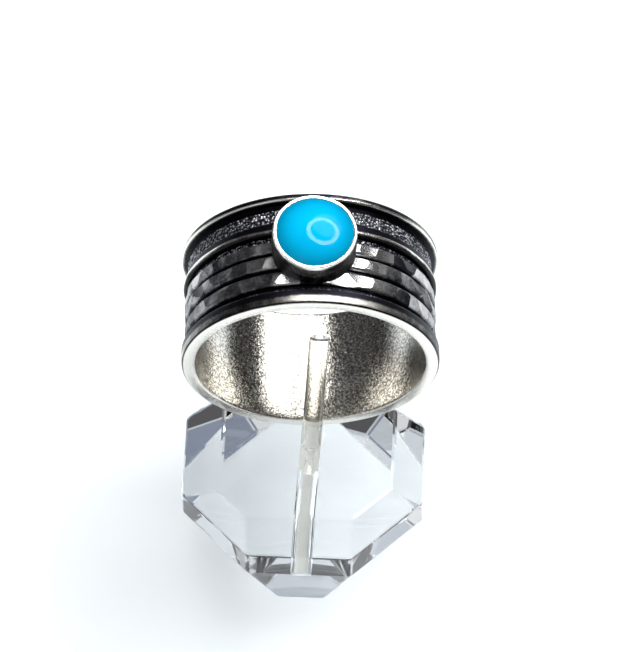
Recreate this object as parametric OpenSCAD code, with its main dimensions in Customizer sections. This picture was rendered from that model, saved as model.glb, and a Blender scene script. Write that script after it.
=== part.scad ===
// Wide band ring with a round domed stone, upright on a clear eight-sided block.
// Millimetres, +Z up, +X right and -Y towards the front of the block.
// The origin is the middle of the underside of the whole part's bounding box.

/* [Node] */
// Which sub-part to build

/* [Band] */
// Diameter of the finger hole
finger_d = 18.9; // [17:0.1:21]
// Width of the band along the finger
band_w = 10.2; // [10:0.1:11]
// Wall thickness at the edge rims
rim_t = 1.15; // [1.1:0.05:1.4]
// Wall thickness at the bottom of the grooves
floor_t = 0.45; // [0.4:0.05:0.5]
// Width of the front edge rim
front_rim_w = 1.25; // [1.1:0.05:1.3]
// Width of the back edge rim
back_rim_w = 0.55; // [0.45:0.05:0.6]
// Width of the flat front face between the finger hole's chamfer and the rounded rim
face_t = 0.6; // [0.5:0.05:0.7]
// Chamfer on both mouths of the finger hole
mouth_cut = 0.25; // [0.15:0.05:0.3]
// Width of the rounding on the front rim's outer edge
front_round_w = 0.42; // [0.3:0.02:0.5]
// Chamfer on the back rim's outer edge
back_cut = 0.18; // [0.1:0.02:0.22]
// How far each groove's wall leans over its height
wall_lean = 0.1; // [0.05:0.05:0.1]
// Turn of the stone off the top of the ring, towards the right
stone_turn = 2.1; // [0:0.1:4]

/* [Wires and strips] */
// Diameter of the front wire
front_wire_d = 1.4; // [1.3:0.05:1.5]
// Distance of the front wire's middle from the front edge
front_wire_at = 2.6; // [2.5:0.05:2.7]
// Diameter of the middle wire
middle_wire_d = 1.2; // [1.1:0.05:1.3]
// Distance of the middle wire's middle from the front edge
middle_wire_at = 4.2; // [4.1:0.05:4.3]
// Diameter of the back wire
back_wire_d = 1.1; // [1:0.05:1.2]
// Distance of the back wire's middle from the front edge
back_wire_at = 5.6; // [5.5:0.05:5.7]
// Height of the wires above the groove floor
wire_h = 0.45; // [0.35:0.05:0.5]
// Diameter of the polished ridge behind the wires
ridge_d = 0.56; // [0.5:0.02:0.6]
// Distance of the ridge's middle from the front edge
ridge_at = 7.05; // [7:0.05:7.15]
// Height of the ridge above the groove floor
ridge_h = 0.55; // [0.5:0.05:0.6]
// Distance from the ridge's middle to the back of the smooth strip
smooth_w = 0.7; // [0.6:0.05:0.8]
// Height of the smooth strip above the groove floor
smooth_h = 0.35; // [0.3:0.05:0.4]
// Height of the stippled strip above the groove floor
stipple_h = 0.15; // [0.1:0.05:0.2]
// Width of the smooth groove in front of the back rim
back_groove_w = 0.45; // [0.3:0.05:0.5]

/* [Stone and bezel] */
// Diameter of the stone
stone_d = 6.2; // [5:0.1:6.5]
// Height of the stone's dome above the bezel's edge
dome_h = 0.9; // [0.6:0.1:1.2]
// Depth of the bezel cup
cup_depth = 1.8; // [1.6:0.1:1.85]
// Wall thickness of the bezel
bezel_t = 0.3; // [0.25:0.05:0.4]
// Height of the bezel's edge above the finger hole's wall
bezel_h = 3.25; // [3.2:0.05:3.6]
// Distance of the stone's middle behind the band's middle
stone_back = 0.3; // [0:0.05:0.6]

/* [Block] */
// Width of the block at its girdle, side to side
block_w = 20.2; // [19.5:0.1:22]
// Depth of the block at its girdle, front to back
block_d = 18.3; // [18:0.1:20]
// What each corner cut takes off the width
corner_cut_x = 5.75; // [5:0.05:6]
// What each corner cut takes off the depth
corner_cut_y = 5.5; // [5:0.05:6]
// Height of the whole block
block_h = 13.8; // [13:0.1:16]
// Height of the bevel round the top
bevel_h = 2.65; // [2:0.05:3]
// Height of the upright girdle
girdle_h = 3.2; // [2.6:0.05:4]
// How far the top bevel comes in on the front, back and right sides
bevel_in = 2.5; // [1.8:0.1:2.7]
// How far the top bevel comes in on the left side
left_bevel_in = 3.3; // [1.8:0.1:3.5]
// How far the top bevel comes in on the four corner sides
corner_bevel_in = 1.65; // [1.2:0.05:1.75]
// How far the lower taper comes in on the four broad sides
taper_in = 1.7; // [1:0.1:1.9]
// How far the lower taper comes in on the four corner sides
corner_taper_in = 2.9; // [1.8:0.1:3]
// Turn of the stand, clockwise from above
stand_turn = 3.0; // [0:0.1:4]
// Place of the block's middle to the left of the ring's middle
block_left = 0.65; // [0:0.05:1]
// Place of the block's middle in front of the ring's middle
block_front = 6.9; // [6.5:0.1:7]

/* [Rod] */
// Diameter of the rod
rod_d = 1.7; // [1.5:0.02:1.8]
// Lean of the rod, up from level
rod_lean = 45; // [44:0.5:50]
// Turn of the rod, clockwise from above
rod_turn = 6.9; // [3:0.1:9]
// Distance of the rod to the left of the ring's middle, at the block's top
rod_left = 0.15; // [0:0.05:0.4]
// Distance of the rod in front of the ring's middle, at the block's top
rod_front = 8.2; // [8.1:0.05:8.4]
// Length of the rod above the block's top, along its middle
rod_out = 10.7; // [9:0.1:12]
// Length of the rod below the block's top, along its middle
rod_in = 9.4; // [8:0.1:9.5]
// Chamfer on the rod's tip
tip_cut = 0.15; // [0.1:0.05:0.3]

/* [Gaps] */
// Gap all round the stone, and round the rod in its hole
fit_gap = 0.05; // [0.04:0.01:0.08]
// Gap between the ring and the block
rest_gap = 0.05; // [0.04:0.01:0.08]

/* [Hidden] */
$fn = 96;

SILVER = [0.56, 0.55, 0.53];
TURQUOISE = [0.05, 0.62, 0.78];
CLEAR = [0.86, 0.90, 0.91, 0.4];

// A cut that has to break through a surface runs past it by this much
past = 1;
// The angle between two points of a rounding
ROUND_STEP = 22.5;

// Radii from the ring's own axis
bore_r = finger_d / 2;
floor_r = bore_r + floor_t;
rim_r = bore_r + rim_t;
face_r = bore_r + mouth_cut + face_t;
smooth_r = floor_r + smooth_h;
stipple_r = floor_r + stipple_h;
bezel_top = bore_r + bezel_h;

// Places along the band, from the front edge to the back edge
front = -band_w / 2;
back = band_w / 2;
smooth_at = front + ridge_at;
smooth_end = smooth_at + smooth_w;
back_rim_at = back - back_rim_w;
back_groove_at = back_rim_at - back_groove_w;

// Bezel and stone, both measured up from the ring's own axis
stone_r = stone_d / 2;
cup_r = stone_r + fit_gap;
bezel_r = cup_r + bezel_t;
cup_floor = bezel_top - cup_depth;
dome_top = bezel_top + dome_h;
// The sphere of the dome passes through the stone's edge, a little below the bezel's edge
dome_drop = dome_h + fit_gap;
dome_r = (stone_r * stone_r + dome_drop * dome_drop) / (2 * dome_drop);

// Heights of the stand below the ring's own axis
block_top = -rim_r - rest_gap;
block_base = block_top - block_h;
girdle_top = block_top - bevel_h;
girdle_base = girdle_top - girdle_h;
rod_r = rod_d / 2;

// Corners of the block's outline at its girdle: half width and half depth, and where the corner cuts start
half_w = block_w / 2;
half_d = block_d / 2;
cut_x = half_w - corner_cut_x;
cut_y = half_d - corner_cut_y;
// The direction that a corner side faces, and its distance from the block's middle
corner_facing = atan2(corner_cut_x, corner_cut_y);
corner_dist = half_w * cos(corner_facing) + cut_y * sin(corner_facing);
// Each side of the block:
// [direction it faces, distance from the middle, inset of its bevel, inset of its taper]
SIDES = [
    [0, half_w, bevel_in, taper_in],
    [corner_facing, corner_dist, corner_bevel_in, corner_taper_in],
    [90, half_d, bevel_in, taper_in],
    [180 - corner_facing, corner_dist, corner_bevel_in, corner_taper_in],
    [180, half_w, left_bevel_in, taper_in],
    [180 + corner_facing, corner_dist, corner_bevel_in, corner_taper_in],
    [270, half_d, bevel_in, taper_in],
    [360 - corner_facing, corner_dist, corner_bevel_in, corner_taper_in]
];
BEVEL = 2;
TAPER = 3;

// Extents of the whole part around the ring's middle, for the origin
reach_x = half_w * cos(stand_turn) + cut_y * sin(stand_turn);
reach_y = half_d * cos(stand_turn) + cut_x * sin(stand_turn);
x_low = min(-rim_r, -block_left - reach_x);
x_high = max(rim_r, -block_left + reach_x);
y_low = min(front, -block_front - reach_y);
y_high = max(back, -block_front + reach_y);
ring_middle = [-(x_low + x_high) / 2, -(y_low + y_high) / 2, -block_base];

// The outline of the plain sleeve from the finger hole's wall outwards, front to back
sleeve_outline = [
    [bore_r, front + mouth_cut],
    [bore_r + mouth_cut, front],
    for (a = [0 : ROUND_STEP : 90])
        [face_r + (rim_r - face_r) * sin(a), front + front_round_w * (1 - cos(a))],
    [rim_r, front + front_rim_w - wall_lean],
    [rim_r - wall_lean, front + front_rim_w],
    [floor_r, front + front_rim_w + wall_lean],
    [floor_r, smooth_at],
    [smooth_r, smooth_at],
    [smooth_r, smooth_end],
    [stipple_r, smooth_end + wall_lean],
    [stipple_r, back_groove_at],
    [floor_r, back_groove_at + wall_lean],
    [floor_r, back_rim_at - wall_lean],
    [rim_r - wall_lean, back_rim_at],
    [rim_r, back_rim_at + wall_lean],
    [rim_r, back - back_cut],
    [rim_r - back_cut, back],
    [bore_r + mouth_cut, back],
    [bore_r, back - mouth_cut]
];

// Turn a shape made about the Z axis so that it lies about the ring's axis, front edge to the front
module about_ring() {
    rotate([-90, 0, 0]) children();
}

// A round wire bent into a hoop about the ring's axis
module hoop(d, at, top) {
    about_ring()
        translate([0, 0, front + at])
            rotate_extrude()
                translate([top - d / 2, 0]) circle(d = d);
}

// Place what stands on top of the ring: local Z runs outwards from the ring's axis
module on_top() {
    rotate([0, stone_turn, 0]) translate([0, stone_back, 0]) children();
}

module sleeve() {
    about_ring() rotate_extrude() polygon(sleeve_outline);
}

module finger_hole() {
    about_ring()
        translate([0, 0, front - past])
            cylinder(r = bore_r, h = band_w + 2 * past);
}

module bezel_cup() {
    cup_foot = floor_r - floor_t / 2;
    on_top() translate([0, 0, cup_foot]) cylinder(r = bezel_r, h = bezel_top - cup_foot);
}

module cup_pocket() {
    on_top() translate([0, 0, cup_floor]) cylinder(r = cup_r, h = cup_depth + past);
}

module band() {
    color(SILVER)
        translate(ring_middle)
            difference() {
                union() {
                    sleeve();
                    hoop(front_wire_d, front_wire_at, floor_r + wire_h);
                    hoop(middle_wire_d, middle_wire_at, floor_r + wire_h);
                    hoop(back_wire_d, back_wire_at, floor_r + wire_h);
                    hoop(ridge_d, ridge_at, floor_r + ridge_h);
                    bezel_cup();
                }
                finger_hole();
                cup_pocket();
            }
}

module cabochon() {
    stone_base = cup_floor + fit_gap;
    color(TURQUOISE)
        translate(ring_middle)
            on_top()
                intersection() {
                    translate([0, 0, stone_base]) cylinder(r = stone_r, h = dome_top - stone_base);
                    translate([0, 0, dome_top - dome_r]) sphere(r = dome_r);
                }
}

// Cuts that slope all eight sides inwards from a height, by the insets in a column of SIDES,
// upwards (up = 1) or downwards (up = -1)
module slope_cuts(z, h, column, up) {
    for (side = SIDES) {
        lean = atan(side[column] / h);
        rotate([0, 0, side[0]])
            translate([side[1], 0, z])
                rotate([0, -up * lean, 0])
                    translate([0, -half_w, up == 1 ? 0 : -2 * h])
                        cube([half_w, block_w, 2 * h]);
    }
}

// Place what lies along the rod: local Z runs up the rod from where it leaves the block
module along_rod() {
    translate([-rod_left, -rod_front, block_top])
        rotate([0, 0, -rod_turn])
            rotate([rod_lean - 90, 0, 0])
                children();
}

module block_prism() {
    translate([0, 0, block_base])
        linear_extrude(block_h)
            polygon([
                [half_w, -cut_y], [half_w, cut_y], [cut_x, half_d], [-cut_x, half_d],
                [-half_w, cut_y], [-half_w, -cut_y], [-cut_x, -half_d], [cut_x, -half_d]
            ]);
}

module stand_block() {
    color(CLEAR)
        translate(ring_middle)
            difference() {
                translate([-block_left, -block_front, 0])
                    rotate([0, 0, -stand_turn])
                        difference() {
                            block_prism();
                            slope_cuts(girdle_top, bevel_h, BEVEL, 1);
                            slope_cuts(girdle_base, girdle_base - block_base, TAPER, -1);
                        }
                along_rod()
                    translate([0, 0, -rod_in - fit_gap])
                        cylinder(r = rod_r + fit_gap, h = rod_in + fit_gap + rod_out);
            }
}

module stand_rod() {
    color(CLEAR)
        translate(ring_middle)
            along_rod()
                union() {
                    translate([0, 0, -rod_in]) cylinder(r = rod_r, h = rod_in + rod_out - tip_cut);
                    translate([0, 0, rod_out - tip_cut])
                        cylinder(r1 = rod_r, r2 = rod_r - tip_cut, h = tip_cut);
                }
}

band();
cabochon();
stand_block();
stand_rod();
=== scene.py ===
"""Looks of a wide hammered band ring with a turquoise stone, upright on a clear bevelled block.

Lengths are millimetres until they reach a mesh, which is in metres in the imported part's own frame.
The ring's own coordinates are an angle round the finger hole from the top, a radius, and y along the finger.
"""

import math

import bmesh
import bpy
import numpy as np
from mathutils import Matrix, Vector


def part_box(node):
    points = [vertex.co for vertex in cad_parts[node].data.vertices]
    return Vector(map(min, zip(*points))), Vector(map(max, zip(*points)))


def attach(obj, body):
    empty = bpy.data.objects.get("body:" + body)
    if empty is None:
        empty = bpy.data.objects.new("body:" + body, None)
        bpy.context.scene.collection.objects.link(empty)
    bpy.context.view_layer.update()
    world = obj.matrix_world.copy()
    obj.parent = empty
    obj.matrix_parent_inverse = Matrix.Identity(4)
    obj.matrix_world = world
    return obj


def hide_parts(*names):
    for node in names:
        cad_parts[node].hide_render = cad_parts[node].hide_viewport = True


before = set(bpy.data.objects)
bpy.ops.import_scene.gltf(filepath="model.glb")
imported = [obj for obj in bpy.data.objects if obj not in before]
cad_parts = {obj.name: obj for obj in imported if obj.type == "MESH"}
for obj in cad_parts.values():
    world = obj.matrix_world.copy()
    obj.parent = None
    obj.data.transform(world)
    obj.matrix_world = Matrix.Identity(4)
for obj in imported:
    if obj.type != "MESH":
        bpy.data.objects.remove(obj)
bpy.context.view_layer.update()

MM = 0.001

# --- Sizes, in millimetres -------------------------------------------------------------------------------------------

# The band: radii from the finger's axis, and places along y
BORE_R = 9.45
RIM_R = 10.6
FLOOR_R = 9.9
BAND_HALF = 5.1
FRONT_RIM_BACK = -3.85
BACK_RIM_FRONT = 4.55
SMOOTH_STRIP = (1.98, 2.67)
SMOOTH_R = 10.25
STIPPLE_STRIP = (2.8, 4.02)
STIPPLE_R = 10.03
# Grainy bottoms of two grooves: behind the back wire, and behind the front rim
BACK_GROOVE = (1.12, 1.62)
FRONT_GROOVE = (-3.77, -3.32)
GRAIN_PITCH = 0.25
STIPPLE_PITCH = 0.27
# How far a grain strays from its cell's middle, and the ranges of its radius in cells and of its height
GRAIN_STRAY = 0.36
GRAIN_RADIUS = (0.42, 0.68)
GRAIN_HEIGHT = (0.45, 1.0)

# Each hammered wire: middle along y, width, pitch of the hammer marks
WIRES = {"wire_front": (-2.5, 1.46, 1.75), "wire_middle": (-0.88, 1.38, 1.5), "wire_back": (0.49, 1.2, 1.35)}
WIRE_TOP = 10.37
WIRE_FOOT = 9.77
# Shine masks run from 0, blackened, to 1, polished: this is the wires' own, before rubbing and painted highlight
WIRE_SHINE = 0.42

# The hammer's hollow, how far a mark strays from its even place, and the ranges of its depth, slopes and polish
MARK_HOLLOW = 4.5
MARK_STRAY = 0.26
MARK_DEPTH = (0.05, 0.1)
MARK_LEAN_ALONG = 0.13
MARK_LEAN_ACROSS = 0.22
MARK_POLISH = (-0.24, 0.16)
# Middle and half width, in degrees, of the marks that face the lamp and of the flatter ones, and how far they do so
MARKS_TO_LAMP = (23, 11)
LAMP_SLOPE = 0.14
MARKS_FLAT = (328, 17)
FLAT_SHARE = 0.65

RIDGE_AT = 1.95
RIDGE_TOP = 10.45
RIDGE_D = 0.56

# Places of brighter, cleaner silver round the finger, in degrees from the top towards the right: middle, half width,
# amount
# They are partly real rubbing and partly painted highlight: most lie where the lamp's highlight falls, right of the top
FRONT_RIM_WEAR_AND_HIGHLIGHT = [(4, 16, 0.3), (32, 14, 0.2), (-75, 20, 0.2)]
BACK_RIM_WEAR_AND_HIGHLIGHT = [(22, 14, 0.18), (-75, 14, 0.45), (62, 10, 0.3)]
WIRES_WEAR_AND_HIGHLIGHT = [(22, 12, 0.65), (-9, 5, 0.15)]
RIDGE_WEAR_AND_HIGHLIGHT = [(24, 10, 0.4), (-60, 18, 0.4), (50, 25, 0.2)]

# The stone and its cup: distances from the stone's own axis, and heights above the finger's axis
STONE_TURN = math.radians(2.1)
STONE_BACK = 0.3
STONE_R = 3.16
STONE_BASE = 10.97
DOME_TOP = 13.6
DOME_R = 5.5
BEZEL_R = 3.44
BEZEL_TOP = 12.7
# Both walls of the cup are upright below this height, and lean inwards above it
BEZEL_SHOULDER = 12.3
LIP_R = 3.12
CUP_R = 3.2
CUP_FLOOR = 10.95
CUP_FOOT = 9.6
# A hidden round hole through the cup's floor
CUP_HOLE_R = 2.2

ROD_R = 0.85
ROD_GAP = 0.05
# Where the rod's middle leaves the block's top, from the ring's middle
ROD_AT = (-0.15, -8.2)
ROD_LEAN = math.radians(45)
ROD_TURN = math.radians(6.9)
ROD_OUT = 10.7
ROD_IN = 9.4
TIP_CUT = 0.15

STAND_TURN = math.radians(3.0)
BLOCK_MIDDLE = (-0.65, -6.9)
BLOCK_HALF = (10.1, 9.15)
CORNER_CUT = (5.75, 5.5)
BLOCK_TOP = -10.65
# Each level of the block: depth below its top, inset of the left side, of the other broad sides, of the corner sides
BLOCK_LEVELS = [(0.0, 3.3, 2.5, 1.65), (2.65, 0.0, 0.0, 0.0), (5.85, 0.0, 0.0, 0.0), (13.8, 1.7, 1.7, 2.9)]
EDGE_WIDTH = 0.22
STEPS_A_SIDE = 12

# Points round the finger, on plain pieces and on hammered or grainy ones
PLAIN_STEPS = 720
FINE_STEPS = 1700

# The finger hole's middle in the part's frame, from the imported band's own box
band_low, band_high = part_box("band")
RING = np.array([band_low.x / MM + RIM_R, (band_low.y + band_high.y) / 2 / MM, band_low.z / MM + RIM_R])

# --- Meshes ----------------------------------------------------------------------------------------------------------


def signed_volume(points, quads):
    """Six times the volume inside the quads: the sum of the boxes that their two triangles span from the middle."""
    p = points - points.mean(0)
    a, b, c, d = (p[quads[:, k]] for k in range(4))
    return (np.einsum("ij,ij->i", a, np.cross(b, c)) + np.einsum("ij,ij->i", a, np.cross(c, d))).sum()


def surface(name, points, material, wrap_v=True, masks=None, smooth=True):
    """A closed piece from points[u, v]: a quad joins each four neighbours, u joins its ends, and so does a wrapped v.

    Its UV map runs from 0 to 1 along u and v. masks are named values for each point. Points that meet are merged.
    """
    nu, nv = points.shape[:2]
    u, v = np.meshgrid(np.arange(nu), np.arange(nv if wrap_v else nv - 1), indexing="ij")
    steps = [(0, 0), (1, 0), (1, 1), (0, 1)]
    quads = np.stack([((u + du) % nu) * nv + (v + dv) % nv for du, dv in steps], -1).reshape(-1, 4)
    uvs = np.stack([np.stack([(u + du) / nu, (v + dv) / nv], -1) for du, dv in steps], 2).reshape(-1, 4, 2)
    flat = (points.reshape(-1, 3) + RING) * MM
    if signed_volume(flat, quads) < 0:
        quads, uvs = quads[:, ::-1], uvs[:, ::-1]
    mesh = bpy.data.meshes.new(name)
    mesh.vertices.add(len(flat))
    mesh.vertices.foreach_set("co", flat.astype(np.float32).ravel())
    mesh.loops.add(quads.size)
    mesh.loops.foreach_set("vertex_index", quads.astype(np.int32).ravel())
    mesh.polygons.add(len(quads))
    mesh.polygons.foreach_set("loop_start", np.arange(0, quads.size, 4, dtype=np.int32))
    mesh.update(calc_edges=True)
    mesh.uv_layers.new(name="UVMap").data.foreach_set("uv", uvs.astype(np.float32).ravel())
    for mask, values in (masks or {}).items():
        mesh.attributes.new(mask, "FLOAT", "POINT").data.foreach_set("value", values.astype(np.float32).ravel())
    if not wrap_v:
        work = bmesh.new()
        work.from_mesh(mesh)
        bmesh.ops.remove_doubles(work, verts=work.verts, dist=1e-8)
        work.to_mesh(mesh)
        work.free()
    mesh.polygons.foreach_set("use_smooth", np.full(len(mesh.polygons), smooth))
    mesh.validate()
    mesh.materials.append(material)
    piece = bpy.data.objects.new(name, mesh)
    bpy.context.scene.collection.objects.link(piece)
    return piece


def whole_turn(count):
    """Angles of a whole turn from 0 on, evenly spaced."""
    return np.linspace(0, 2 * math.pi, count, endpoint=False)


def around_finger(angle, radius, y):
    """Points in millimetres from the ring's middle: radius from the finger's axis, turned by angle from the top."""
    return np.stack([radius * np.sin(angle), y + 0 * angle, radius * np.cos(angle)], -1)


def above_ring(rho, angle, height):
    """Points round the stone's own axis, which starts at the ring's middle and leans by the stone's turn."""
    x, y = rho * np.cos(angle), rho * np.sin(angle) + STONE_BACK
    c, s = math.cos(STONE_TURN), math.sin(STONE_TURN)
    return np.stack([x * c + height * s, y, height * c - x * s], -1)


def rounded_loop(corners, steps=5):
    """A closed outline through corners (a, b, fillet): each corner becomes an arc that touches both its sides."""
    p = np.array([c[:2] for c in corners], float)
    out = []
    for k, (_, _, fillet) in enumerate(corners):
        before, here, after = p[k - 1], p[k], p[(k + 1) % len(p)]
        d1, d2 = before - here, after - here
        d1, d2 = d1 / np.linalg.norm(d1), d2 / np.linalg.norm(d2)
        half = math.acos(np.clip(d1 @ d2, -1, 1)) / 2
        reach = fillet / math.tan(half)
        start, end = here + d1 * reach, here + d2 * reach
        t = np.linspace(0, 1, steps)[:, None]
        out.append(start * (1 - t) ** 2 + 2 * here * t * (1 - t) + end * t**2)
    return np.concatenate(out)


def densify(loop, longest):
    """A closed outline with extra points, evenly spaced, on each side longer than longest."""
    out = []
    for a, b in zip(loop, np.roll(loop, -1, 0)):
        n = max(1, int(math.ceil(np.linalg.norm(b - a) / longest)))
        out.append(a + (b - a) * np.arange(n)[:, None] / n)
    return np.concatenate(out)


def soft_step(x, low, high):
    """From 0 at low to 1 at high, as 3 t^2 - 2 t^3."""
    t = np.clip((x - low) / (high - low), 0, 1)
    return t * t * (3 - 2 * t)


def bump(x, middle, half):
    """From 1 at the middle to 0 far from it, as exp(-((x - middle) / half)^2)."""
    return np.exp(-(((x - middle) / half) ** 2))


def wear_and_highlight(angle, places):
    """How far the metal is brightened round the finger, by rubbing and by painted highlight: the sum of a bump for each
    (middle, half width, amount).
    """
    total = 0 * angle
    for middle, half, amount in places:
        total = total + amount * bump((np.degrees(angle) - middle + 180) % 360 - 180, 0, half)
    return total


# --- Relief ----------------------------------------------------------------------------------------------------------


def hammer_marks(angle, y, middle, pitch, seed):
    """Depth below a wire's top that hammering leaves, and each mark's own polish: the deepest mark counts.

    A mark lies at depth + lean_along * along + lean_across * across - along^2 / (2 * hollow) from its own middle.
    """
    rng = np.random.default_rng(seed)
    count = int(round(2 * math.pi * WIRE_TOP / pitch))
    at = (np.arange(count) + rng.uniform(-MARK_STRAY, MARK_STRAY, count)) * 2 * math.pi / count
    deepest = np.zeros(np.broadcast(angle, y).shape)
    polish = np.zeros(deepest.shape)
    for centre in at:
        depth = rng.uniform(*MARK_DEPTH)
        to_lamp = LAMP_SLOPE * bump(math.degrees(centre), *MARKS_TO_LAMP)
        uneven = 1 - FLAT_SHARE * bump(math.degrees(centre), *MARKS_FLAT)
        lean_along = rng.uniform(-MARK_LEAN_ALONG, MARK_LEAN_ALONG) * uneven - to_lamp
        lean_across = rng.uniform(-MARK_LEAN_ACROSS, MARK_LEAN_ACROSS) * uneven
        rubbing = rng.uniform(*MARK_POLISH) * uneven
        along = (np.mod(angle - centre + math.pi, 2 * math.pi) - math.pi) * WIRE_TOP
        mark = depth + lean_along * along + lean_across * (y - middle) - along**2 / (2 * MARK_HOLLOW)
        wins = (mark > deepest) & (np.abs(along) < 1.1 * pitch)
        deepest, polish = np.where(wins, mark, deepest), np.where(wins, rubbing, polish)
    return deepest, polish


def grains(angle, y, radius, low, high, pitch, seed):
    """Height from 0 to 1 of close-set round grains: each point of a jittered grid lifts a small dome over itself."""
    rng = np.random.default_rng(seed)
    across = max(2, int(round((high - low) / pitch)))
    round_count = int(round(2 * math.pi * radius / pitch))
    stray = rng.uniform(-GRAIN_STRAY, GRAIN_STRAY, (round_count, across, 2))
    size = rng.uniform(*GRAIN_RADIUS, (round_count, across))
    lift = rng.uniform(*GRAIN_HEIGHT, (round_count, across))
    # a and b count the grid's cells round the finger and across the strip
    a = np.mod(angle, 2 * math.pi) / (2 * math.pi) * round_count + 0 * y
    b = (y - low) / (high - low) * across + 0 * angle
    best = np.zeros(a.shape)
    for da in (-1, 0, 1):
        for db in (-1, 0, 1):
            i, j = np.floor(a).astype(int) + da, np.floor(b).astype(int) + db
            inside = (j >= 0) & (j < across)
            i, j = i % round_count, np.clip(j, 0, across - 1)
            gap_a = np.mod(a - (i + 0.5 + stray[i, j, 0]) + round_count / 2, round_count) - round_count / 2
            gap_b = b - (j + 0.5 + stray[i, j, 1])
            dome = lift[i, j] * (1 - (gap_a**2 + gap_b**2) / size[i, j] ** 2)
            best = np.maximum(best, np.where(inside, dome, 0))
    return best


# --- Shader groups ---------------------------------------------------------------------------------------------------


class Wiring:
    """Short calls for the nodes of one tree: add a node, set its inputs by name, and join sockets."""

    def __init__(self, tree):
        self.tree = tree

    def add(self, kind, **settings):
        node = self.tree.nodes.new(kind)
        inputs = settings.pop("inputs", {})
        for key, value in settings.items():
            setattr(node, key, value)
        for key, value in inputs.items():
            if isinstance(value, bpy.types.NodeSocket):
                self.tree.links.new(value, node.inputs[key])
            else:
                node.inputs[key].default_value = value
        return node

    def math(self, operation, a, b):
        return self.add("ShaderNodeMath", operation=operation, inputs={0: a, 1: b}).outputs[0]

    def noise(self, vector, scale, detail, roughness=0.55):
        node = self.add("ShaderNodeTexNoise", inputs={"Vector": vector, "Scale": scale, "Detail": detail,
                                                      "Roughness": roughness})
        return node.outputs["Fac"]

    def ramp(self, value, low, high):
        node = self.add("ShaderNodeMapRange", interpolation_type="SMOOTHSTEP",
                        inputs={"Value": value, "From Min": low, "From Max": high})
        return node.outputs["Result"]

    def blend(self, factor, a, b):
        node = self.add("ShaderNodeMix", data_type="RGBA", inputs={0: factor, 6: a, 7: b})
        return node.outputs[2]


def new_group(name, inputs, outputs):
    """An empty node group with named inputs (name, kind, value) and outputs (name, kind)."""
    group = bpy.data.node_groups.new(name, "ShaderNodeTree")
    for label, kind, value in inputs:
        socket = group.interface.new_socket(label, in_out="INPUT", socket_type=kind)
        socket.default_value = value
    for label, kind in outputs:
        group.interface.new_socket(label, in_out="OUTPUT", socket_type=kind)
    wiring = Wiring(group)
    return group, wiring, wiring.add("NodeGroupInput"), wiring.add("NodeGroupOutput")


def build_tarnish():
    """Colour and roughness of blackened silver: the blackening stays where the shine mask is low, mottled by noise."""
    group, w, given, out = new_group(
        "tarnish",
        [("Shine", "NodeSocketFloat", 0.5), ("Silver", "NodeSocketColor", (0.8, 0.77, 0.72, 1)),
         ("Blackening", "NodeSocketColor", (0.02, 0.02, 0.026, 1)), ("Mottle", "NodeSocketFloat", 0.35)],
        [("Color", "NodeSocketColor"), ("Roughness", "NodeSocketFloat"), ("Height", "NodeSocketFloat")])
    place = w.add("ShaderNodeTexCoord").outputs["Object"]
    broad = w.noise(place, 900.0, 4.0, 0.6)
    fine = w.noise(place, 4800.0, 3.0, 0.6)
    patches = w.math("SUBTRACT", w.math("ADD", broad, w.math("MULTIPLY", fine, 0.6)), 0.8)
    mottling = w.math("MULTIPLY", patches, w.math("MULTIPLY", given.outputs["Mottle"], 3.0))
    level = w.math("ADD", given.outputs["Shine"], mottling)
    clean = w.ramp(level, 0.18, 0.82)
    colour = w.blend(clean, given.outputs["Blackening"], given.outputs["Silver"])
    rough = w.math("ADD", 0.36, w.math("MULTIPLY", clean, -0.16))
    w.tree.links.new(colour, out.inputs["Color"])
    w.tree.links.new(w.math("ADD", rough, w.math("MULTIPLY", fine, 0.06)), out.inputs["Roughness"])
    w.tree.links.new(w.math("ADD", w.math("MULTIPLY", fine, 0.6), broad), out.inputs["Height"])
    return group


def build_scratches():
    """Height and mask of fine hairlines round the finger, from noise stretched along the UV map's first direction."""
    group, w, given, out = new_group(
        "scratches",
        [("Around", "NodeSocketFloat", 60.0), ("Across", "NodeSocketFloat", 260.0)],
        [("Height", "NodeSocketFloat"), ("Mask", "NodeSocketFloat")])
    uv = w.add("ShaderNodeTexCoord").outputs["UV"]
    parts = w.add("ShaderNodeSeparateXYZ", inputs={0: uv})
    stretched = w.add("ShaderNodeCombineXYZ", inputs={
        0: w.math("MULTIPLY", parts.outputs[0], given.outputs["Around"]),
        1: w.math("MULTIPLY", parts.outputs[1], given.outputs["Across"])})
    hair = w.noise(stretched.outputs[0], 1.0, 5.0, 0.65)
    w.tree.links.new(hair, out.inputs["Height"])
    w.tree.links.new(w.ramp(hair, 0.56, 0.72), out.inputs["Mask"])
    return group


tarnish = build_tarnish()
scratches = build_scratches()

# --- Materials -------------------------------------------------------------------------------------------------------


def new_material(name, **sockets):
    """A material with one Principled shader whose named sockets get plain values."""
    material = bpy.data.materials.new(name)
    material.use_nodes = True
    shader = material.node_tree.nodes["Principled BSDF"]
    for key, value in sockets.items():
        shader.inputs[key.replace("_", " ")].default_value = value
    return material, Wiring(material.node_tree), shader


def bumped(w, shader, height, strength, distance):
    """Let a height, whose whole step is a distance in metres, tilt the shader's normals."""
    relief = w.add("ShaderNodeBump", inputs={"Height": height, "Strength": strength, "Distance": distance})
    w.tree.links.new(relief.outputs["Normal"], shader.inputs["Normal"])


def blackened_silver(name, silver, blackening, mottle, relief):
    """Silver whose polish follows the piece's own shine mask."""
    material, w, shader = new_material(name, Metallic=1.0)
    shine = w.add("ShaderNodeAttribute", attribute_name="shine").outputs["Fac"]
    coat = w.add("ShaderNodeGroup", node_tree=tarnish,
                 inputs={"Shine": shine, "Silver": silver, "Blackening": blackening, "Mottle": mottle})
    w.tree.links.new(coat.outputs["Color"], shader.inputs["Base Color"])
    w.tree.links.new(coat.outputs["Roughness"], shader.inputs["Roughness"])
    bumped(w, shader, coat.outputs["Height"], relief, 0.00003)
    return material


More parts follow.
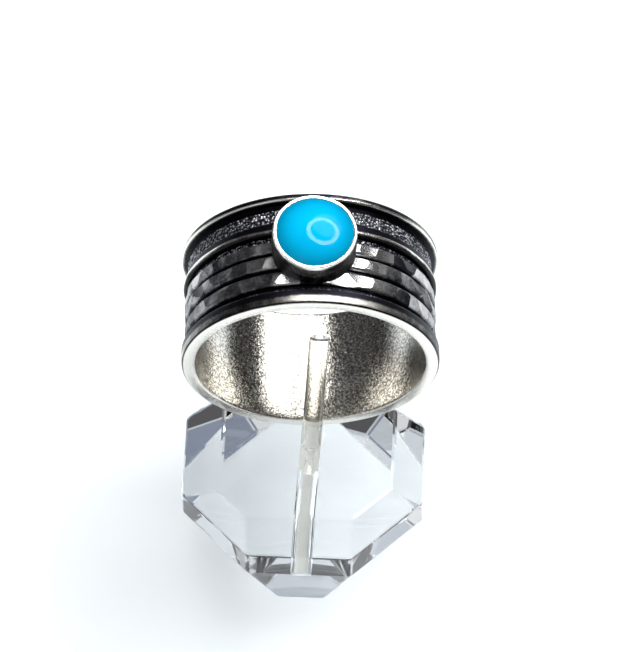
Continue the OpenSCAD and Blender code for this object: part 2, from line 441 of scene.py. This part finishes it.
def satin_silver():
    """The sleeve: cream satin faces, a brushed finger hole greyed by painted shade, and grooves blackened where the
    shine is low.
    """
    material, w, shader = new_material("satin_silver", Metallic=1.0)
    shine = w.add("ShaderNodeAttribute", attribute_name="shine").outputs["Fac"]
    inside = w.add("ShaderNodeAttribute", attribute_name="inside").outputs["Fac"]
    coat = w.add("ShaderNodeGroup", node_tree=tarnish,
                 inputs={"Shine": shine, "Silver": (0.90, 0.875, 0.815, 1), "Blackening": (0.012, 0.012, 0.018, 1),
                         "Mottle": 0.12})
    lines = w.add("ShaderNodeGroup", node_tree=scratches, inputs={"Around": 90.0, "Across": 420.0})
    place = w.add("ShaderNodeTexCoord").outputs["Object"]
    grain = w.ramp(w.noise(place, 5200.0, 2.0, 0.6), 0.36, 0.62)
    bright = w.math("ADD", w.math("MULTIPLY", grain, 0.7), w.math("MULTIPLY", lines.outputs["Mask"], 0.3))
    # Inside the finger hole the colour is darker on average than the faces: painted shade in the hole, over real
    # brushed grain and hairlines
    hole_grain_and_shade = w.blend(bright, (0.27, 0.26, 0.24, 1), (0.98, 0.96, 0.90, 1))
    w.tree.links.new(w.blend(inside, coat.outputs["Color"], hole_grain_and_shade), shader.inputs["Base Color"])
    rough = w.math("ADD", coat.outputs["Roughness"], w.math("MULTIPLY", lines.outputs["Mask"], 0.12))
    grain_rough = w.math("SUBTRACT", w.math("MULTIPLY", grain, 0.1), 0.13)
    rough = w.math("ADD", rough, w.math("MULTIPLY", inside, grain_rough))
    w.tree.links.new(rough, shader.inputs["Roughness"])
    height = w.math("ADD", lines.outputs["Height"], coat.outputs["Height"])
    height = w.math("ADD", height, w.math("MULTIPLY", inside, w.math("MULTIPLY", grain, 0.25)))
    bumped(w, shader, height, 0.35, 0.00004)
    return material


def turquoise():
    """Polished even turquoise, in faint clouds, with painted shade that darkens it towards its edge."""
    material, w, shader = new_material("turquoise_stone", Roughness=0.03, IOR=1.5, Specular_IOR_Level=0.17)
    place = w.add("ShaderNodeTexCoord").outputs["Object"]
    clouds = w.ramp(w.noise(place, 420.0, 4.0, 0.6), 0.35, 0.7)
    body = w.blend(clouds, (0.0, 0.445, 0.80, 1), (0.0, 0.475, 0.84, 1))
    rim = w.add("ShaderNodeAttribute", attribute_name="rim").outputs["Fac"]
    # Painted shade: the stone's colour darkens towards its edge, where its dome turns away from the lamp
    w.tree.links.new(w.blend(rim, body, (0.0, 0.19, 0.35, 1)), shader.inputs["Base Color"])
    return material


def clear_acrylic(name, tint, haze=0.0):
    """Clear acrylic: shadow and diffuse rays mostly pass straight through, and so do rays caught inside it."""
    material, w, shader = new_material(name, Roughness=haze, IOR=1.49, Transmission_Weight=1.0, Base_Color=tint)
    path = w.add("ShaderNodeLightPath")
    soft = w.math("MAXIMUM", path.outputs["Is Shadow Ray"], path.outputs["Is Diffuse Ray"])
    passing = w.math("MULTIPLY", soft, 0.88)
    trapped = w.math("GREATER_THAN", path.outputs["Ray Depth"], 3.5)
    w.tree.links.new(w.math("SUBTRACT", 1.0, w.math("MAXIMUM", passing, trapped)), shader.inputs["Alpha"])
    return material


SATIN = satin_silver()
HAMMERED = blackened_silver("hammered_silver", (0.78, 0.78, 0.79, 1), (0.018, 0.019, 0.026, 1), 0.16, 0.6)
GRAINED = blackened_silver("grained_silver", (0.62, 0.63, 0.68, 1), (0.03, 0.031, 0.04, 1), 0.25, 0.3)
BEZEL = blackened_silver("bezel_silver", (0.92, 0.89, 0.85, 1), (0.02, 0.018, 0.02, 1), 0.2, 0.15)
TURQUOISE = turquoise()
BLOCK_CLEAR = clear_acrylic("clear_block_acrylic", (0.935, 0.96, 0.965, 1))
ROD_CLEAR = clear_acrylic("clear_rod_acrylic", (0.70, 0.68, 0.62, 1), 0.06)

# --- The band --------------------------------------------------------------------------------------------------------


def make_sleeve():
    """The band without its wires: one rounded outline of radius and y, turned round the finger."""
    corners = [
        (BORE_R, -BAND_HALF, 0.24), (RIM_R, -BAND_HALF, 0.34), (RIM_R, FRONT_RIM_BACK, 0.1),
        (FLOOR_R, FRONT_RIM_BACK + 0.04, 0.05), (FLOOR_R, SMOOTH_STRIP[0] - 0.05, 0.04),
        (SMOOTH_R, SMOOTH_STRIP[0], 0.05), (SMOOTH_R, SMOOTH_STRIP[1], 0.06),
        (STIPPLE_R - 0.06, STIPPLE_STRIP[0], 0.03), (STIPPLE_R - 0.06, STIPPLE_STRIP[1], 0.03),
        (FLOOR_R - 0.03, STIPPLE_STRIP[1] + 0.08, 0.03), (FLOOR_R - 0.03, BACK_RIM_FRONT - 0.08, 0.04),
        (RIM_R, BACK_RIM_FRONT, 0.2), (RIM_R, BAND_HALF, 0.2), (BORE_R, BAND_HALF, 0.24),
    ]
    outline = densify(rounded_loop(corners), 0.35)
    angle = whole_turn(PLAIN_STEPS)[:, None]
    radius, y = outline[None, :, 0], outline[None, :, 1]
    points = around_finger(angle, radius + 0 * angle, y)
    outside = (radius > FLOOR_R - 0.2) & (np.abs(y) < BAND_HALF - 0.01) & (y > -BAND_HALF + 0.06)
    # The front rim stays dark along its back half, and a thin line is rubbed bright along each rim's inner edge
    # Both rims also take painted highlight where the lamp's highlight falls, the front rim only on its front half
    front_wear_and_highlight = 0.1 + (0.17 + wear_and_highlight(angle, FRONT_RIM_WEAR_AND_HIGHLIGHT)) * soft_step(-y, 4.2, 4.45)
    back_wear_and_highlight = 0.06 + wear_and_highlight(angle, BACK_RIM_WEAR_AND_HIGHLIGHT)
    rims = (radius > RIM_R - 0.06) * np.where(y < 0, front_wear_and_highlight, back_wear_and_highlight)
    edges = 0.35 * bump(y, FRONT_RIM_BACK, 0.06) + 0.75 * bump(y, BACK_RIM_FRONT + 0.06, 0.09)
    strip = ((y > SMOOTH_STRIP[0]) & (y < SMOOTH_STRIP[1]) & (radius > SMOOTH_R - 0.1)) * 0.12
    shine = np.where(outside, np.maximum(rims, strip) + edges * (radius > RIM_R - 0.2), 0.95 + 0 * angle)
    inside = soft_step(BORE_R + 0.12 - radius, 0, 0.1) + 0 * angle
    return surface("band_sleeve", points, material=SATIN, masks={"shine": shine, "inside": inside})


def make_wire(name, middle, width, pitch, seed):
    """A half-round wire round the finger: an arch of y over its width, cut down to its hammer marks' planes."""
    angle = whole_turn(FINE_STEPS)[:, None]
    t = np.sin(np.linspace(-math.pi / 2, math.pi / 2, 25))
    arch = WIRE_TOP - (WIRE_TOP - FLOOR_R) * np.abs(t) ** 6
    y = middle + t * width / 2
    depth, polish = hammer_marks(angle, y[None], middle, pitch, seed)
    top = np.minimum(arch[None], WIRE_TOP - depth)
    foot = np.full((len(angle), 2), WIRE_FOOT)
    radius = np.concatenate([top, foot], 1)
    across = np.concatenate([y, [middle + width / 2, middle - width / 2]])[None] + 0 * angle
    # Besides each mark's own polish, the wires take painted highlight where the lamp's highlight falls, right of the
    # top
    shine = np.concatenate([(WIRE_SHINE + polish + wear_and_highlight(angle, WIRES_WEAR_AND_HIGHLIGHT)) * (1 - np.abs(t) ** 7), 0 * foot], 1)
    return surface(name, around_finger(angle + 0 * radius, radius, across), material=HAMMERED, masks={"shine": shine})


def make_ridge():
    """The polished ridge: a circle carried round the finger, with a slight waver in height."""
    angle = whole_turn(PLAIN_STEPS)[:, None]
    turn = whole_turn(20)[None]
    waver = 0.015 * np.sin(angle * 9 + 1) + 0.01 * np.sin(angle * 23)
    radius = RIDGE_TOP - RIDGE_D / 2 + (RIDGE_D / 2) * np.cos(turn) + waver
    y = RIDGE_AT + RIDGE_D / 2 * np.sin(turn) + 0 * angle
    crest = np.clip(np.cos(turn), 0, 1)
    # The crest is polished, and it also takes painted highlight where the lamp's highlight falls
    shine = 0.02 + 0.5 * crest**8 + wear_and_highlight(angle, RIDGE_WEAR_AND_HIGHLIGHT) * crest**2
    return surface("ridge", around_finger(angle + 0 * radius, radius, y), material=BEZEL, masks={"shine": shine})


def make_grain_strip(name, low, high, base, height, pitch, seed, polish):
    """A strip of close-set grains between two places along y, closed below by a plain foot."""
    angle = whole_turn(FINE_STEPS)[:, None]
    y = np.linspace(low, high, 22)[None]
    ends = np.minimum(1, np.minimum(y - low, high - y) / 0.06)
    lift = grains(angle, y, base, low, high, pitch, seed) * ends
    foot = np.full((len(angle), 2), base - 0.12)
    radius = np.concatenate([base + height * lift - 0.03 * (1 - ends), foot], 1)
    across = np.concatenate([y, [[high, low]]], 1) + 0 * angle
    shine = np.concatenate([polish * lift, 0 * foot], 1)
    return surface(name, around_finger(angle + 0 * radius, radius, across), material=GRAINED, masks={"shine": shine})


# --- The stone and its bezel -----------------------------------------------------------------------------------------


def make_bezel():
    """The cup: a rounded outline of distance and height, turned round the stone's axis, its edge pressed inwards."""
    corners = [
        (BEZEL_R, CUP_FOOT, 0.02), (BEZEL_R, BEZEL_SHOULDER, 0.3), (BEZEL_R - 0.07, BEZEL_TOP, 0.1),
        (LIP_R, BEZEL_TOP - 0.05, 0.04), (LIP_R + 0.02, BEZEL_TOP - 0.22, 0.02), (CUP_R, BEZEL_SHOULDER, 0.05),
        (CUP_R, CUP_FLOOR, 0.02), (CUP_HOLE_R, CUP_FLOOR - 0.05, 0.02), (CUP_HOLE_R, CUP_FOOT, 0.02),
    ]
    outline = densify(rounded_loop(corners, 6), 0.2)
    angle = whole_turn(256)[:, None]
    height = outline[None, :, 1] + 0 * angle
    press = soft_step(height, 12.0, BEZEL_TOP)
    waver = (0.018 * np.sin(3 * angle + 1) + 0.012 * np.sin(7 * angle + 2)) * press
    rho = outline[None, :, 0] + waver
    # A painted highlight: the cup's wall is made polished in one patch low at the front, where a glint shows
    painted_glint = 0.55 * bump(np.degrees(angle), 262, 22) * soft_step(height, 11.0, 11.5)
    shine = np.clip(0.22 + 0.7 * soft_step(height, 12.4, 12.6) + painted_glint, 0, 1)
    return surface("bezel", above_ring(rho, angle + 0 * rho, height), material=BEZEL, masks={"shine": shine})


def make_stone():
    """The dome: height falls from its top as a sphere's cap out to the stone's edge, then a plain wall and base."""
    angle = whole_turn(192)[:, None]
    rho_dome = STONE_R * np.sin(np.linspace(0, math.pi / 2, 40))
    height_dome = DOME_TOP - (DOME_R - np.sqrt(DOME_R**2 - rho_dome**2))
    rho = np.concatenate([rho_dome, [STONE_R, STONE_R, 0]])[None] + 0 * angle
    height = np.concatenate([height_dome, [12.0, STONE_BASE, STONE_BASE]])[None] + 0 * angle
    # The stone's mask rises towards its edge, for the painted shade there
    return surface("stone", above_ring(rho, angle + 0 * rho, height), wrap_v=False, material=TURQUOISE,
                   masks={"rim": 0.9 * (rho / STONE_R) ** 3})


# --- The clear stand -------------------------------------------------------------------------------------------------


def stand_place(x, y, z, origin):
    """Points of the stand: turned clockwise from above about origin, which is given from the ring's middle."""
    c, s = math.cos(STAND_TURN), math.sin(STAND_TURN)
    return np.stack([origin[0] + x * c + y * s, origin[1] - x * s + y * c, z], -1)


def block_outline(left_in, broad_in, corner_in):
    """The eight corners where neighbouring sides meet, each side moved in by its inset."""
    facing = math.atan2(CORNER_CUT[0], CORNER_CUT[1])
    corner = BLOCK_HALF[0] * math.cos(facing) + (BLOCK_HALF[1] - CORNER_CUT[1]) * math.sin(facing)
    quarter = [(0, BLOCK_HALF[0], broad_in), (facing, corner, corner_in), (math.pi / 2, BLOCK_HALF[1], broad_in),
               (math.pi - facing, corner, corner_in)]
    sides = quarter + [(a + math.pi, d, inset) for a, d, inset in quarter]
    sides[4] = (math.pi, BLOCK_HALF[0], left_in)
    normals = np.array([[math.cos(a), math.sin(a)] for a, _, _ in sides])
    dists = np.array([d - inset for _, d, inset in sides])
    return np.array([np.linalg.solve(np.stack([normals[k - 1], normals[k]]), [dists[k - 1], dists[k]])
                     for k in range(8)])


def along_rod(turn, radius, along):
    """Points of a round rod or hole: radius round the rod's middle at angle turn, and along it from the block's top."""
    across = np.array([math.cos(ROD_TURN), -math.sin(ROD_TURN), 0])
    ahead = np.array([math.sin(ROD_TURN), math.cos(ROD_TURN), 0])
    upward = np.array([0, 0, 1.0])
    run = ahead * math.cos(ROD_LEAN) + upward * math.sin(ROD_LEAN)
    rise = upward * math.cos(ROD_LEAN) - ahead * math.sin(ROD_LEAN)
    out = (radius * np.cos(turn))[..., None] * across + (radius * np.sin(turn))[..., None] * rise
    return np.array([*ROD_AT, BLOCK_TOP]) + out + np.asarray(along)[..., None] * run


def sides_in_steps(corners, steps):
    """Points along the sides of a closed outline, the same number on each side, corners included."""
    t = np.arange(steps)[:, None] / steps
    return np.concatenate([a + (b - a) * t for a, b in zip(corners, np.roll(corners, -1, 0))])


def make_block():
    """The clear block with the rod's hole, as one closed grid: its rows run from the middle of the hole's floor up the
    hole, out over the top to the eight-sided outline, down its levels, and in to the middle of the base."""
    levels = []
    for depth, *insets in BLOCK_LEVELS:
        xy = sides_in_steps(block_outline(*insets), STEPS_A_SIDE)
        levels.append(stand_place(xy[:, 0], xy[:, 1], np.full(len(xy), BLOCK_TOP - depth), BLOCK_MIDDLE))
    # Each point of the hole faces the outline's point that it joins, so that no quads of the top cross
    toward = levels[0][:, :2] - np.array(ROD_AT)
    aside = toward @ [math.cos(ROD_TURN), -math.sin(ROD_TURN)]
    ahead = toward @ [math.sin(ROD_TURN), math.cos(ROD_TURN)]
    turn = np.arctan2(-ahead * math.sin(ROD_LEAN), aside)
    hole = np.full(len(turn), ROD_R + ROD_GAP)
    floor = np.full(len(turn), -ROD_IN - ROD_GAP)
    mouth = along_rod(turn, hole, -hole * np.sin(turn) / math.tan(ROD_LEAN))
    walls = [along_rod(turn, hole, floor), mouth]
    middles = [along_rod(turn, 0 * hole, floor), np.broadcast_to(levels[-1].mean(0), levels[-1].shape)]
    points = np.stack([middles[0], *walls, *levels, middles[1]], 1)
    block = surface("clear_block", points, wrap_v=False, material=BLOCK_CLEAR, smooth=False)
    edges = block.modifiers.new("polished_edges", "BEVEL")
    edges.width, edges.segments, edges.limit_method = EDGE_WIDTH * MM, 2, "ANGLE"
    edges.angle_limit = math.radians(20)
    return block


def make_rod():
    """The slanted rod: an outline of radius and distance along it, turned round its middle, its tip chamfered."""
    rows = 40
    lengths = np.concatenate([[-ROD_IN], np.linspace(-ROD_IN, ROD_OUT - TIP_CUT, rows), [ROD_OUT, ROD_OUT]])
    radii = np.concatenate([[0], np.full(rows, ROD_R), [ROD_R - TIP_CUT, 0]])
    turn = whole_turn(96)[:, None]
    points = along_rod(turn + 0 * radii, radii + 0 * turn, lengths + 0 * turn)
    rod = surface("clear_rod", points, wrap_v=False, material=ROD_CLEAR)
    rod.data.set_sharp_from_angle(angle=math.radians(35))
    return rod


# --- Build -----------------------------------------------------------------------------------------------------------

band_pieces = [make_sleeve(), make_ridge(), make_bezel()]
for seed, (name, (middle, width, pitch)) in enumerate(WIRES.items(), 11):
    band_pieces.append(make_wire(name, middle, width, pitch, seed))
band_pieces += [
    make_grain_strip("stipple_strip", *STIPPLE_STRIP, STIPPLE_R - 0.04, 0.13, STIPPLE_PITCH, seed=31, polish=0.8),
    make_grain_strip("back_groove_grain", *BACK_GROOVE, FLOOR_R - 0.02, 0.1, GRAIN_PITCH, seed=32, polish=0.7),
    make_grain_strip("front_groove_grain", *FRONT_GROOVE, FLOOR_R - 0.02, 0.1, GRAIN_PITCH, seed=33, polish=0.45),
]
for piece in band_pieces:
    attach(piece, "root")
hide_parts("band")

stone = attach(make_stone(), "root")
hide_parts("cabochon")

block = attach(make_block(), "root")
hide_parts("stand_block")

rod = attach(make_rod(), "root")
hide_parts("stand_rod")

# --- Floor and light -------------------------------------------------------------------------------------------------


def make_floor():
    """A plain pale floor just under the block."""
    half, drop = 0.22, -0.00002
    mesh = bpy.data.meshes.new("floor")
    mesh.from_pydata([(-half, -half, drop), (half, -half, drop), (half, half, drop), (-half, half, drop)], [],
                     [(0, 1, 2, 3)])
    material, _, _ = new_material("pale_floor", Roughness=0.85, Specular_IOR_Level=0.15, Emission_Strength=0.22,
                                  Base_Color=(0.84, 0.885, 0.92, 1), Emission_Color=(0.84, 0.9, 0.95, 1))
    mesh.materials.append(material)
    floor = bpy.data.objects.new("floor", mesh)
    bpy.context.scene.collection.objects.link(floor)


def facing_ring(azimuth, elevation, distance):
    """A place at a distance from the ring's middle, azimuth being from +Y towards +X, and the turn that faces it."""
    a, e = math.radians(azimuth), math.radians(elevation)
    away = Vector((math.sin(a) * math.cos(e), math.cos(a) * math.cos(e), math.sin(e)))
    return Vector(RING * MM) + away * distance, away.to_track_quat("Z", "Y")


def add_glow(name, material_name, points, faces, colour, strength):
    """A mesh that only gives off light, in one colour and hidden from the camera."""
    mesh = bpy.data.meshes.new(name)
    mesh.from_pydata(points, [], faces)
    material, _, _ = new_material(material_name, Base_Color=(0, 0, 0, 1), Emission_Color=colour,
                                  Emission_Strength=strength)
    mesh.materials.append(material)
    glow = bpy.data.objects.new(name, mesh)
    bpy.context.scene.collection.objects.link(glow)
    glow.visible_camera = False
    return glow


def make_ring_light(azimuth, elevation, distance, radius, thickness, strength):
    """A lamp shaped as a flat ring that faces the object: its glow is what shows as a ring in the stone."""
    place, turned = facing_ring(azimuth, elevation, distance)
    count = 96
    edges = (radius - thickness / 2, radius + thickness / 2)
    flat = [(r * math.cos(t), r * math.sin(t), 0) for t in whole_turn(count) for r in edges]
    points = [tuple(turned @ Vector(p) + place) for p in flat]
    faces = [(2 * k, 2 * k + 1, (2 * k + 3) % (2 * count), (2 * k + 2) % (2 * count)) for k in range(count)]
    add_glow("ring_light", "ring_glow", points, faces, (1.0, 0.985, 0.96, 1), strength)


def make_glow_panel(azimuth, elevation, distance, radius, strength):
    """A round white panel behind the lamp that faces the object, which only polished surfaces show."""
    place, turned = facing_ring(azimuth, elevation, distance)
    points = [tuple(turned @ Vector((radius * math.cos(t), radius * math.sin(t), 0)) + place) for t in whole_turn(64)]
    faces = [tuple(range(len(points)))]
    panel = add_glow("glow_panel", "panel_glow", points, faces, (1.0, 0.99, 0.97, 1), strength)
    panel.visible_diffuse = panel.visible_transmission = panel.visible_shadow = False


def make_softbox(name, azimuth, elevation, distance, size, power, colour):
    """A round area lamp that faces the object and shows in no polished or clear surface."""
    lamp = bpy.data.lights.new(name, "AREA")
    lamp.shape, lamp.size, lamp.energy, lamp.color = "DISK", size, power, colour
    holder = bpy.data.objects.new(name, lamp)
    holder.rotation_mode = "QUATERNION"
    holder.location, holder.rotation_quaternion = facing_ring(azimuth, elevation, distance)
    holder.visible_glossy = holder.visible_transmission = False
    bpy.context.scene.collection.objects.link(holder)


def make_surround():
    """A pale sphere far round the object, which only the clear pieces show, darker overhead and with dark screens."""
    radius = 0.9
    azimuth = whole_turn(48)[:, None]
    rise = np.linspace(-math.pi / 2, math.pi / 2, 25)[None]
    points = np.stack([radius * np.cos(rise) * np.cos(azimuth), radius * np.cos(rise) * np.sin(azimuth),
                       radius * np.sin(rise) + 0 * azimuth], -1)
    nu, nv = points.shape[:2]
    faces = [(u * nv + v, (u + 1) % nu * nv + v, (u + 1) % nu * nv + v + 1, u * nv + v + 1)
             for u in range(nu) for v in range(nv - 1)]
    mesh = bpy.data.meshes.new("surround")
    mesh.from_pydata(points.reshape(-1, 3).tolist(), [], faces)
    material, w, shader = new_material("surround_glow", Base_Color=(0, 0, 0, 1), Emission_Strength=1.0)
    place = w.add("ShaderNodeTexCoord").outputs["Object"]
    parts = w.add("ShaderNodeSeparateXYZ", inputs={0: place}).outputs
    side, ahead, height = parts[0], parts[1], parts[2]
    pale = w.blend(w.ramp(height, 0.1, 0.8), (0.84, 0.88, 0.91, 1), (0.58, 0.61, 0.65, 1))
    screens = w.ramp(w.math("ADD", w.noise(place, 3.4, 1.0), w.math("MULTIPLY", side, 0.2)), 0.48, 0.55)
    screens = w.math("MULTIPLY", screens, w.ramp(ahead, -0.56, -0.44))
    w.tree.links.new(w.blend(screens, pale, (0.22, 0.25, 0.33, 1)), shader.inputs["Emission Color"])
    mesh.materials.append(material)
    dome = bpy.data.objects.new("surround", mesh)
    bpy.context.scene.collection.objects.link(dome)
    dome.visible_camera = dome.visible_diffuse = dome.visible_glossy = dome.visible_shadow = False


def make_room():
    """A dim grey room, brighter overhead, with one soft window low on the front left."""
    world = bpy.data.worlds.new("room")
    world.use_nodes = True
    w = Wiring(world.node_tree)
    direction = w.add("ShaderNodeTexCoord").outputs["Generated"]
    up = w.add("ShaderNodeSeparateXYZ", inputs={0: direction}).outputs[2]
    colour = w.blend(w.ramp(up, 0.0, 0.9), (0.055, 0.052, 0.05, 1), (0.11, 0.11, 0.115, 1))
    toward = w.add("ShaderNodeVectorMath", operation="DOT_PRODUCT", inputs={0: direction, 1: (-0.5, -0.72, 0.48)})
    colour = w.blend(w.ramp(toward.outputs["Value"], 0.8, 0.95), colour, (0.75, 0.76, 0.78, 1))
    w.tree.links.new(colour, world.node_tree.nodes["Background"].inputs["Color"])
    bpy.context.scene.world = world


make_floor()
make_room()
make_surround()
make_ring_light(azimuth=36.7, elevation=63.9, distance=0.35, radius=0.138, thickness=0.046, strength=14.5)
make_glow_panel(azimuth=33, elevation=51, distance=0.42, radius=0.165, strength=1.9)
make_softbox("right_softbox", azimuth=48, elevation=52, distance=0.6, size=0.3, power=1.6, colour=(1, 1, 1))

# --- Camera ----------------------------------------------------------------------------------------------------------

CAMERA_ELEVATION = math.radians(60.97)
CAMERA_ROLL = math.radians(-0.466)
CAMERA_DISTANCE = 414.7
# What the camera looks at, from the ring's middle
CAMERA_AIM = np.array([0.89, 0.0, -2.48])
# Distance of the image plane from the eye, in pixels of the photograph
LENS_PIXELS = 5000
PHOTO_WIDTH = 642


def make_camera():
    """The photograph's camera: it stands in front of the aim and above it, turned a little about its own line."""
    back = Vector((0, -math.cos(CAMERA_ELEVATION), math.sin(CAMERA_ELEVATION)))
    right = Vector((1, 0, 0))
    up = back.cross(right)
    c, s = math.cos(CAMERA_ROLL), math.sin(CAMERA_ROLL)
    right, up = right * c + up * s, up * c - right * s
    camera = bpy.data.cameras.new("camera")
    camera.sensor_fit, camera.sensor_width = "HORIZONTAL", 36
    camera.lens = LENS_PIXELS / PHOTO_WIDTH * camera.sensor_width
    camera.clip_start, camera.clip_end = 0.01, 10
    holder = bpy.data.objects.new("camera", camera)
    holder.matrix_world = Matrix((right, up, back)).transposed().to_4x4()
    holder.location = Vector((RING + CAMERA_AIM) * MM) + back * CAMERA_DISTANCE * MM
    bpy.context.scene.collection.objects.link(holder)
    bpy.context.scene.camera = holder


make_camera()
bpy.context.scene.view_settings.view_transform = "Standard"
